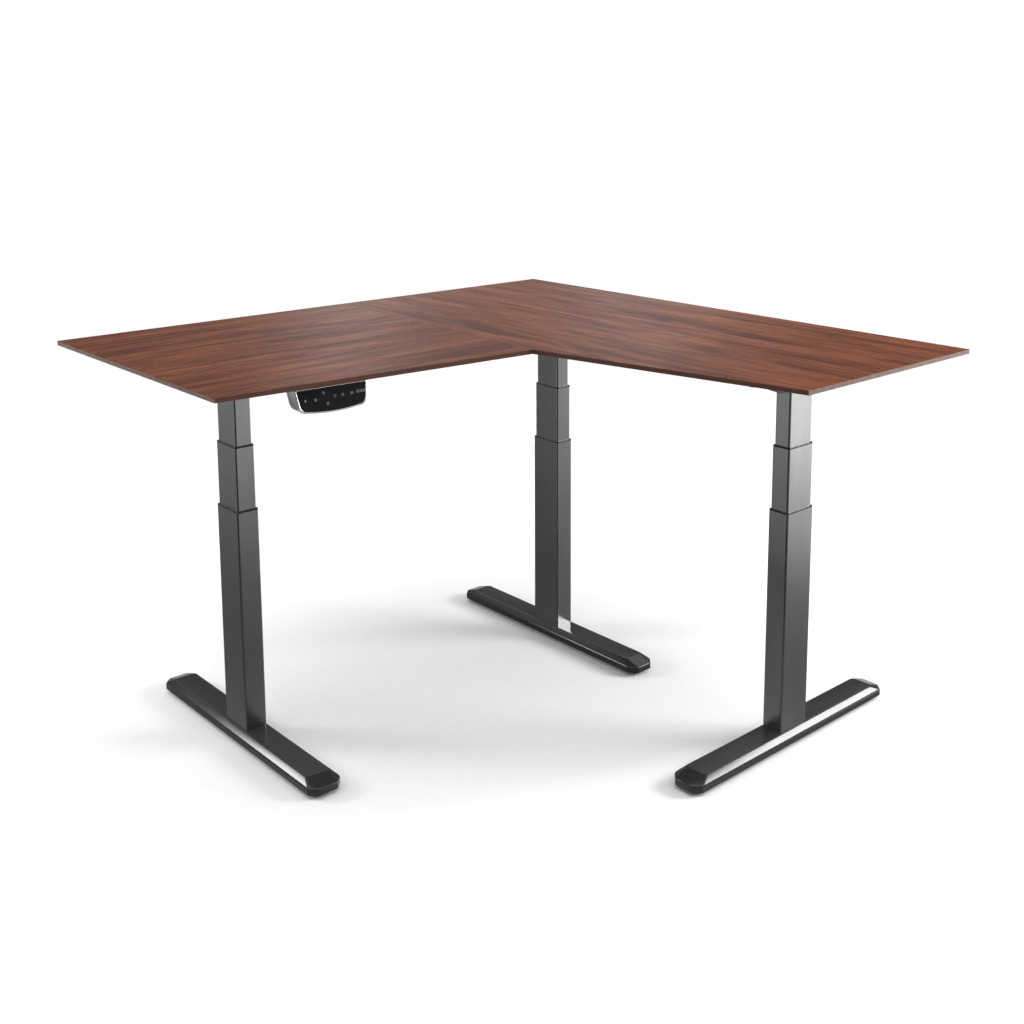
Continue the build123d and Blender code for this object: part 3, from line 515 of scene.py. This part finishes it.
def add_marks(place, materials):
    """Generic printed marks: arrows, rings, key numbers as dots, and a row of display segments."""
    mesh = bmesh.new()
    level = -PANEL_SINK + MARK_LIFT

    def patch(points):
        mesh.faces.new([mesh.verts.new(place.at(along, up, level)) for along, up in points])

    def disc(along, up, radius, steps=14):
        patch([
            (along + radius * cos(2 * pi * step / steps), up + radius * sin(2 * pi * step / steps))
            for step in range(steps)
        ])

    def bar(along, up, half_width, half_height):
        patch([
            (along - half_width, up - half_height), (along + half_width, up - half_height),
            (along + half_width, up + half_height), (along - half_width, up + half_height),
        ])

    for shape, along, up in MARKS:
        if shape in ("up", "down"):
            tip = MARK_SIZE if shape == "up" else -MARK_SIZE
            shoulder = up - tip * 0.2
            patch([(along - MARK_SIZE, shoulder), (along + MARK_SIZE, shoulder), (along, up + tip)])
            bar(along, up - tip * 0.7, MARK_SIZE * 0.35, MARK_SIZE * 0.5)
        elif shape == "ring":
            outer, inner, steps = MARK_SIZE, MARK_SIZE * 0.68, 20
            for step in range(steps):
                first, last = 2 * pi * step / steps, 2 * pi * (step + 1) / steps
                patch([
                    (along + outer * cos(first), up + outer * sin(first)),
                    (along + outer * cos(last), up + outer * sin(last)),
                    (along + inner * cos(last), up + inner * sin(last)),
                    (along + inner * cos(first), up + inner * sin(first)),
                ])
        else:
            count = ("one", "two", "three").index(shape) + 1
            for index in range(count):
                disc(along + (index - (count - 1) / 2) * 0.0026, up, 0.0008)
            bar(along, up + 0.0022, 0.0036, 0.0002)
            bar(along, up - 0.0022, 0.0036, 0.0002)
    for digit in range(3):
        middle = DISPLAY_START + digit * DIGIT_PITCH
        for side in (-1, 1):
            bar(middle + side * DIGIT_HALF, DISPLAY_LEVEL, 0.0004, DIGIT_RISE)
        for rise in (-1, 0, 1):
            bar(middle, DISPLAY_LEVEL + rise * DIGIT_RISE, 0.0013, 0.0003)
    bmesh.ops.recalc_face_normals(mesh, faces=mesh.faces)
    for face in mesh.faces:
        if face.normal.dot(EDGE_OUT) < 0:
            face.normal_flip()
    finished(mesh, "handset_marks", "desk_top", materials["mark_print"])


# ---------------------------------------------------------------- stage
FLOOR_RADIUS = 7.0
FLOOR_FADE = (2.6, 5.5)         # the floor fades into the white room between these radii


def add_floor():
    mesh = bmesh.new()
    bmesh.ops.create_circle(mesh, cap_ends=True, segments=96, radius=FLOOR_RADIUS)
    data = bpy.data.meshes.new("floor")
    mesh.to_mesh(data)
    mesh.free()
    floor = bpy.data.objects.new("floor", data)
    bpy.context.scene.collection.objects.link(floor)
    finish = Finish("floor", roughness=0.9, specular_ior_level=0.0)
    grain = finish.noise(finish.place(), 40.0, 3.0)
    finish.set("base_color", finish.mix(grain, (0.90, 0.90, 0.90), (0.93, 0.93, 0.93)))
    radius = finish.add("VectorMath", {0: finish.place()}, operation="LENGTH").outputs["Value"]
    finish.set("alpha", finish.remap(radius, *FLOOR_FADE, 1.0, 0.0))
    data.materials.append(finish.material)
    floor.visible_glossy = False


def soft_light(name, place, target, size, watts):
    """A rectangular softbox, aimed at a point."""
    data = bpy.data.lights.new(name, "AREA")
    data.shape = "RECTANGLE"
    data.size, data.size_y = size
    data.energy = watts
    light = bpy.data.objects.new(name, data)
    light.location = place
    aim = Vector(target) - Vector(place)
    light.rotation_euler = aim.to_track_quat("-Z", "Y").to_euler()
    light.visible_camera = False
    bpy.context.scene.collection.objects.link(light)


# brightness of the room just below eye level and near the floor, by compass angle in degrees from +X
EYE_LEVEL = [
    (-180, 0.40), (-154, 0.46), (-142, 0.16), (-136, 0.16), (-127, 0.66), (-112, 0.60), (-98, 0.08),
    (-20, 0.08), (8, 0.60), (18, 0.95), (30, 0.80), (40, 0.20), (44, 0.20), (50, 2.40), (75, 2.50),
    (120, 0.90), (180, 0.40),
]
FLOOR_LEVEL = [
    (-180, 0.15), (-152, 0.15), (-142, 0.08), (-136, 0.08), (-127, 0.13), (-98, 0.03), (0, 0.03),
    (26, 0.03), (40, 0.20), (60, 0.13), (110, 0.12), (180, 0.15),
]
# glow low behind the desk, which the tabletop mirrors
BACK_GLOW = [
    (-180, 0.05), (124, 0.08), (129, 0.22), (134, 0.60), (139, 0.24), (143, 0.34), (147, 0.74),
    (151, 0.16), (160, 0.08), (180, 0.05),
]
BRIGHTEST = 2.5
FOOT_GLOW = 0.6                 # extra brightness close by on the floor, which the feet's sides mirror


def add_world():
    """A white studio: soft light from above, and sides of uneven brightness for the metal to mirror."""
    world = bpy.data.worlds.new("studio")
    bpy.context.scene.world = world
    world.use_nodes = True
    graph = Graph(world.node_tree)
    graph.tree.nodes.clear()
    direction = graph.add("SeparateXYZ", {0: graph.add("TexCoord").outputs["Generated"]})
    x, y, z = (direction.outputs[axis] for axis in "XYZ")
    turn = graph.math("ADD", graph.math("DIVIDE", graph.math("ARCTAN2", y, x), 2 * pi), 0.5)

    def around(levels):
        stops = [(angle / 360 + 0.5, (level / BRIGHTEST,) * 3) for angle, level in levels]
        return graph.math("MULTIPLY", graph.ramp(turn, stops), BRIGHTEST)

    near_eye = graph.remap(z, -0.37, -0.23)
    low = graph.add("Mix", {"Factor": near_eye, 2: around(FLOOR_LEVEL), 3: around(EYE_LEVEL)}).outputs[0]
    low = graph.math("ADD", low, graph.remap(z, -0.475, -0.495, 0.0, FOOT_GLOW))
    glow = graph.math("MULTIPLY", around(BACK_GLOW), graph.remap(z, 0.45, 0.20))
    high = graph.math("ADD", graph.remap(z, 0.40, 0.95, 0.04, 2.00), glow)
    level = graph.add("Mix", {"Factor": graph.remap(z, -0.06, 0.08), 2: low, 3: high}).outputs[0]
    grey = graph.add("CombineColor", {0: level, 1: level, 2: level}).outputs[0]
    tint = graph.mix(near_eye, (1.02, 1.0, 0.97), (0.97, 1.0, 1.03))
    colour = graph.mix(1.0, grey, tint, "MULTIPLY")
    light = graph.add("Background", {"Color": colour, "Strength": 1.0}).outputs[0]
    seen = graph.add("Background", {"Color": (1.0, 1.0, 1.0, 1.0), "Strength": 1.0}).outputs[0]
    camera_ray = graph.add("LightPath").outputs["Is Camera Ray"]
    shader = graph.add("MixShader", {0: camera_ray, 1: light, 2: seen}).outputs[0]
    graph.add("OutputWorld", {"Surface": shader})


def add_stage():
    add_floor()
    add_world()
    soft_light("left_softbox", (-2.2, -2.2, 1.28), (-0.1, -0.5, 0.1), (0.7, 0.6), 32)
    soft_light("right_softbox", (2.08, 2.45, 1.48), (0.5, 0.3, 0.05), (1.5, 0.9), 95)
    bpy.context.scene.view_settings.view_transform = "Standard"


# ---------------------------------------------------------------- the whole scene
add_camera()
materials = make_materials()
dress_nodes(materials)
for leg in LEGS:
    soft_foot(leg, materials)
add_handset(materials)
add_stage()
